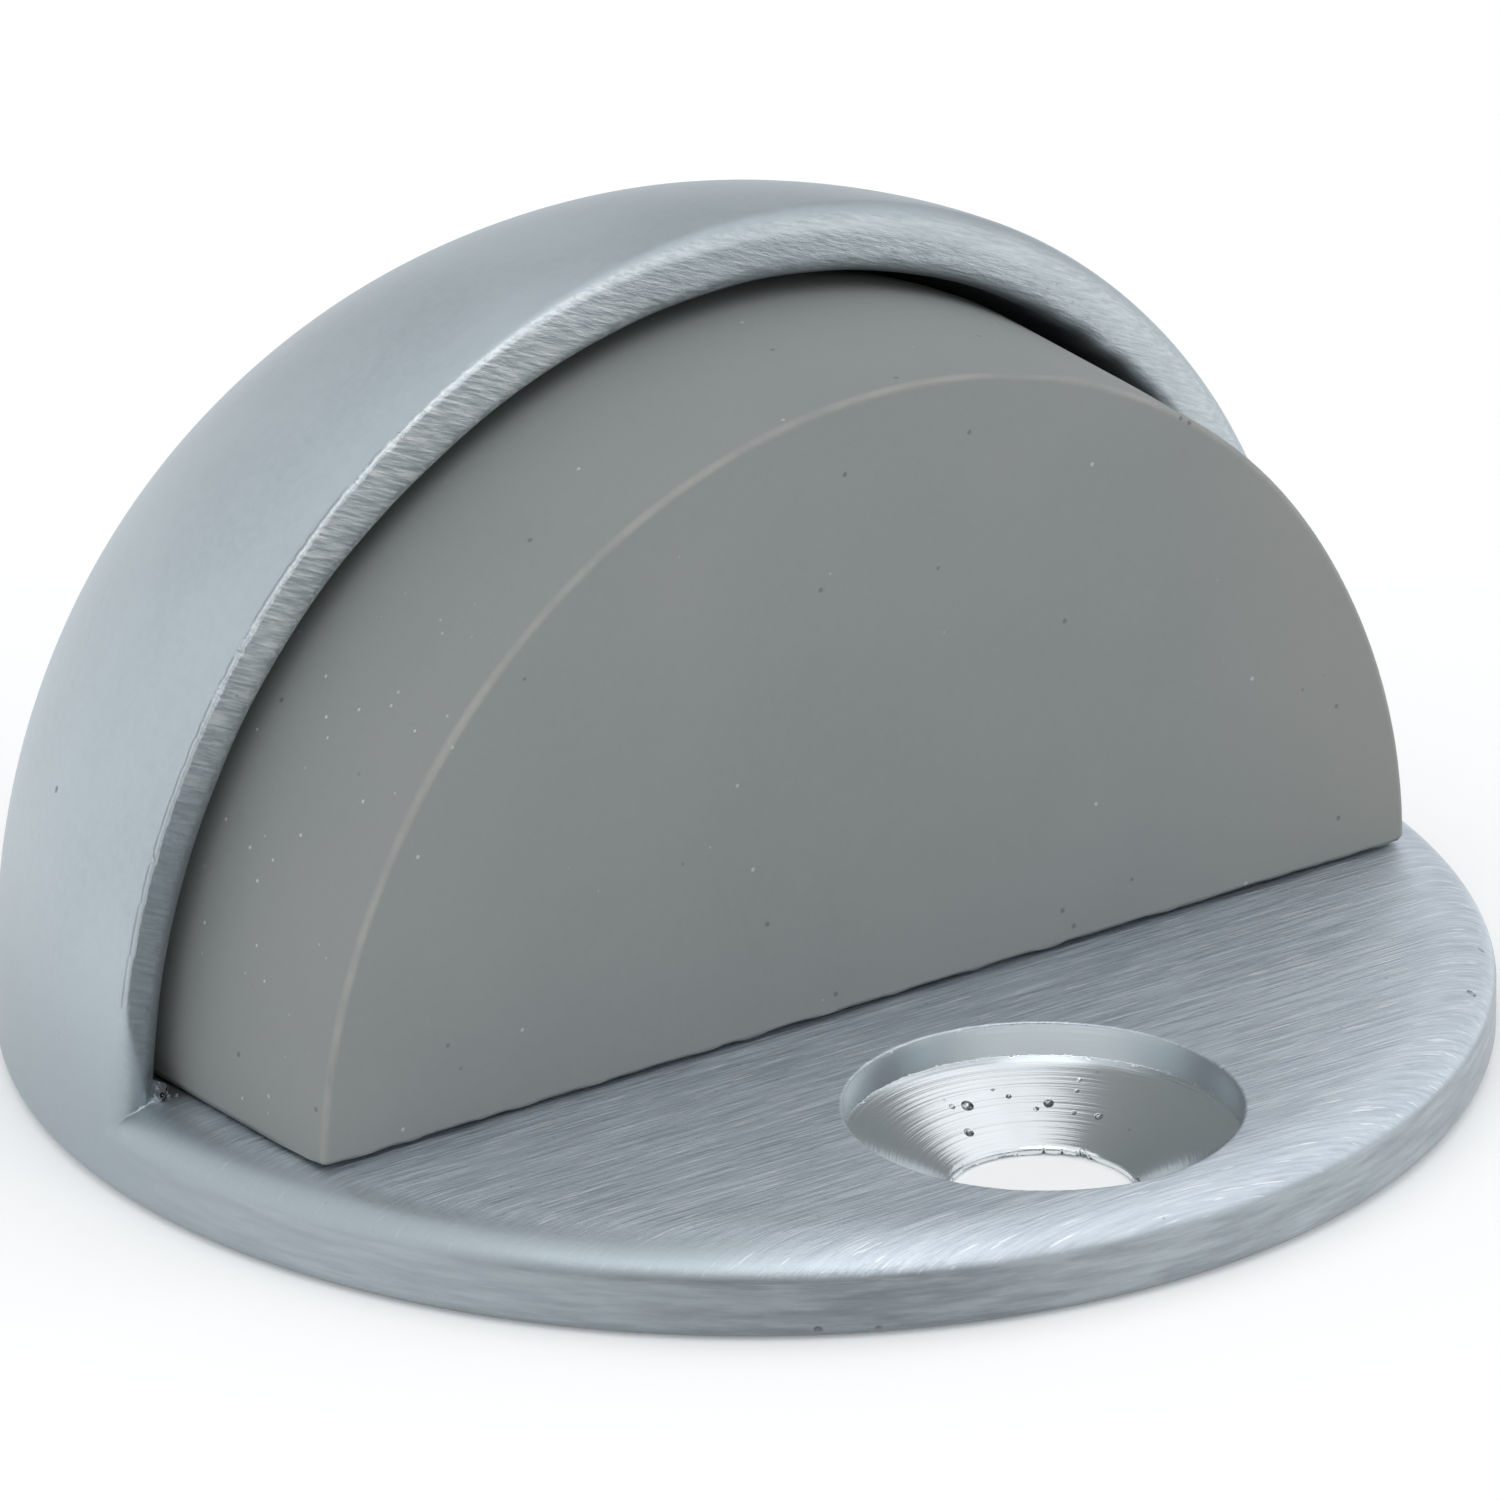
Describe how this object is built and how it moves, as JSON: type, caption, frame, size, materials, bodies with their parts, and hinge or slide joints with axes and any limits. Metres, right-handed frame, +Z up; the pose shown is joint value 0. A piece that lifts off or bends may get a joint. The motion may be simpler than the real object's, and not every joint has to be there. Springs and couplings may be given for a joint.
{
  "type": "door stop",
  "caption": "Low dome floor door stop: a round cast base with a half-dome hood, a half-disc rubber bumper and a counterbored floor screw hole.",
  "frame": {"origin": "centre of the round base, on the floor", "axes": "+Z up from the floor; -Y from the hood towards the door that the bumper stops; +X along the bumper's straight bottom edge"},
  "size_m": [0.0476, 0.0476, 0.0272],
  "materials": {
    "satin_casting": "satin",
    "grey_rubber": "matte",
    "zinc_steel": "satin"
  },
  "bodies": {
    "root": {"cast_body": "satin_casting", "rubber_bumper": "grey_rubber", "bumper_nut_plate": "zinc_steel", "bumper_screw_left": "zinc_steel", "bumper_screw_right": "zinc_steel"}
  },
  "joints": []
}
